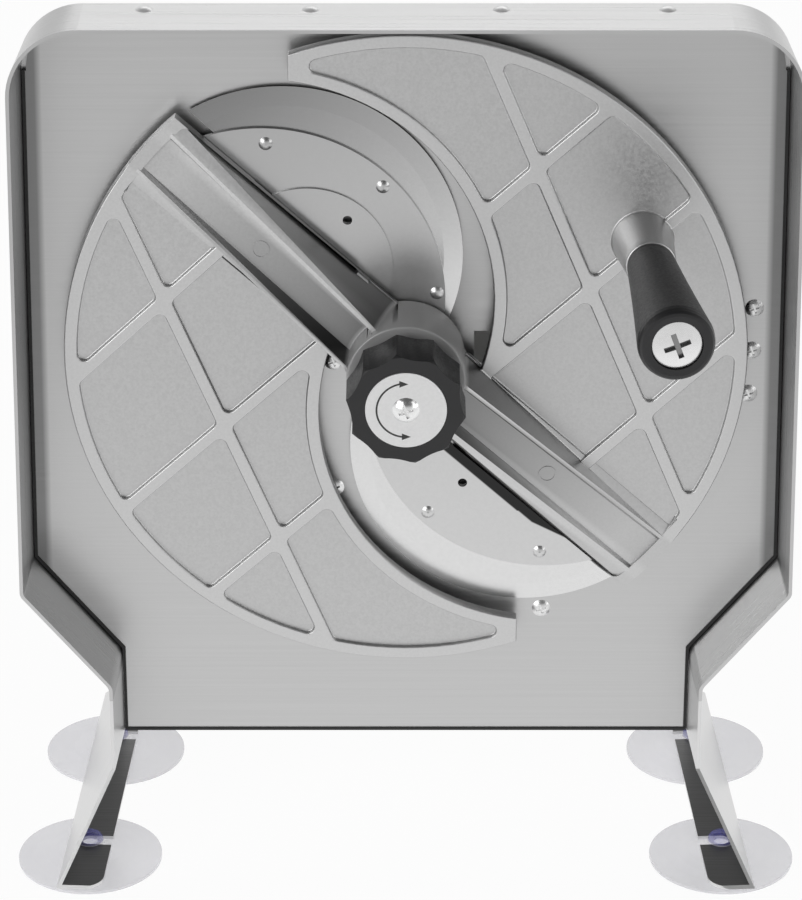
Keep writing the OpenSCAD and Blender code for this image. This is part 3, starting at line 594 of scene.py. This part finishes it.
def arrow_outline():
    """A curved double-headed arrow, both heads pointing right."""
    angles = [ARROW_FROM + (ARROW_TO - ARROW_FROM) * i / ARROW_STEPS for i in range(ARROW_STEPS + 1)]
    outer = [polar(ARROW_R + ARROW_W / 2, a) for a in angles]
    inner = [polar(ARROW_R - ARROW_W / 2, a) for a in angles]

    def head(degrees):
        x, z = polar(ARROW_R, degrees)
        return [(x, z - HEAD_WIDTH / 2), (x + HEAD_LENGTH, z), (x, z + HEAD_WIDTH / 2)]

    return outer + head(ARROW_TO) + list(reversed(inner)) + head(ARROW_FROM)


def flat_piece(name, outline, thickness, material, body):
    """A thin plate with this outline, lying on the knob's disc."""

    def layer(lift):
        return [mesh.verts.new(Vector((x, label_y - lift, AXIS_Z + z))) for x, z in outline]

    mesh = bmesh.new()
    back = layer(SIGN_LIFT)
    front = layer(thickness)
    mesh.faces.new(front)
    mesh.faces.new(list(reversed(back)))
    count = len(outline)
    for i in range(count):
        j = (i + 1) % count
        mesh.faces.new((back[i], back[j], front[j], front[i]))
    bmesh.ops.recalc_face_normals(mesh, faces=mesh.faces)
    data = bpy.data.meshes.new(name)
    mesh.to_mesh(data)
    mesh.free()
    data.materials.append(material)
    piece = bpy.data.objects.new(name, data)
    bpy.context.scene.collection.objects.link(piece)
    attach(piece, body)


flat_piece("knob_arrow", arrow_outline(), SIGN_T, print_black.material, "knob")


# The floor, pale, with painted light falloff that turns it grey in front of the object

FLOOR_SIZE = 14
FLOOR_Z = -0.3 * MM
FLOOR_LIGHT_FADE = (-1.0, -0.2)
FLOOR_TONES = (grey(0.74), grey(1))
GLOW_SHARE = 0.95


def floor_material():
    """Shows its own pale colour to the camera and in reflections, and keeps a little of the shadow."""
    material = bpy.data.materials.new("floor")
    material.use_nodes = True
    graph = Graph(material.node_tree)
    graph.tree.nodes.clear()
    place = graph.split(graph.node("ShaderNodeTexCoord").outputs["Object"])
    # Painted light falloff: the floor greys towards the front
    fade = graph.span(place["Y"], *FLOOR_LIGHT_FADE, interpolation="SMOOTHSTEP")
    tone = graph.ramp(fade, list(zip((0, 1), FLOOR_TONES)))
    diffuse = graph.node("ShaderNodeBsdfDiffuse")
    graph.link(tone, diffuse.inputs["Color"])
    glow = graph.node("ShaderNodeEmission")
    graph.link(tone, glow.inputs["Color"])
    glow.inputs["Strength"].default_value = 1
    path = graph.node("ShaderNodeLightPath").outputs
    seen = graph.math("MAXIMUM", path["Is Camera Ray"], path["Is Glossy Ray"])
    seen = graph.math("MAXIMUM", seen, path["Is Transmission Ray"])
    mix = graph.node("ShaderNodeMixShader")
    graph.link(graph.math("MULTIPLY", seen, GLOW_SHARE), mix.inputs["Fac"])
    graph.link(diffuse.outputs["BSDF"], mix.inputs[1])
    graph.link(glow.outputs["Emission"], mix.inputs[2])
    output = graph.node("ShaderNodeOutputMaterial")
    graph.link(mix.outputs["Shader"], output.inputs["Surface"])
    return material


bpy.ops.mesh.primitive_plane_add(size=FLOOR_SIZE, location=(0, 0, FLOOR_Z))
floor = bpy.context.object
floor.name = "floor"
floor.data.materials.append(floor_material())


# The studio is pale all round at the horizon and behind the object, and dark overhead and in front

SKY_ABOVE = (0.1, 0.3)
SKY_AHEAD = (0.2, -0.2)
SKY_OVERHEAD = (0.5, 0.75)
SKY_TONES = (grey(0.75), grey(0.12))

world = bpy.data.worlds.new("studio")
bpy.context.scene.world = world
world.use_nodes = True
sky = Graph(world.node_tree)
background = sky.tree.nodes["Background"]
background.inputs["Strength"].default_value = 1
heading = sky.split(sky.node("ShaderNodeTexCoord").outputs["Generated"])
above = sky.span(heading["Z"], *SKY_ABOVE)
ahead = sky.span(heading["Y"], *SKY_AHEAD)
overhead = sky.span(heading["Z"], *SKY_OVERHEAD)
dark = sky.math("MAXIMUM", sky.math("MULTIPLY", above, ahead), overhead)
sky.link(sky.ramp(dark, list(zip((0, 1), SKY_TONES))), background.inputs["Color"])


# Lamps: name, place, size and power

LAMP_TARGET = Vector((0, 0, 0.2))
LAMPS = [
    ("key", (-1.2, -1.5, 0.9), (1.2, 1.2), 14),
    ("fill", (1.5, -1.0, 0.8), (1.0, 1.2), 5),
    ("back", (0.2, 1.6, 1.5), (1.6, 1.0), 8),
]


def softbox(name, location, size, power):
    data = bpy.data.lights.new(name, "AREA")
    data.shape = "RECTANGLE"
    data.size, data.size_y = size
    data.energy = power
    lamp = bpy.data.objects.new(name, data)
    lamp.location = location
    lamp.rotation_euler = (LAMP_TARGET - Vector(location)).to_track_quat("-Z", "Y").to_euler()
    bpy.context.scene.collection.objects.link(lamp)


for lamp_values in LAMPS:
    softbox(*lamp_values)


# The camera, fitted to the photo

CAMERA_LENS = 160.016
CAMERA_X = -2.07 * MM
CAMERA_BACK = 1554.45 * MM
CAMERA_Z = 947.36 * MM
CAMERA_PITCH = 25.9

camera_data = bpy.data.cameras.new("camera")
camera_data.lens = CAMERA_LENS
camera = bpy.data.objects.new("camera", camera_data)
camera.location = (CAMERA_X, plate_y - CAMERA_BACK, CAMERA_Z)
camera.rotation_euler = (math.radians(90 - CAMERA_PITCH), 0, 0)
bpy.context.scene.collection.objects.link(camera)
bpy.context.scene.camera = camera
bpy.context.scene.view_settings.view_transform = "Standard"
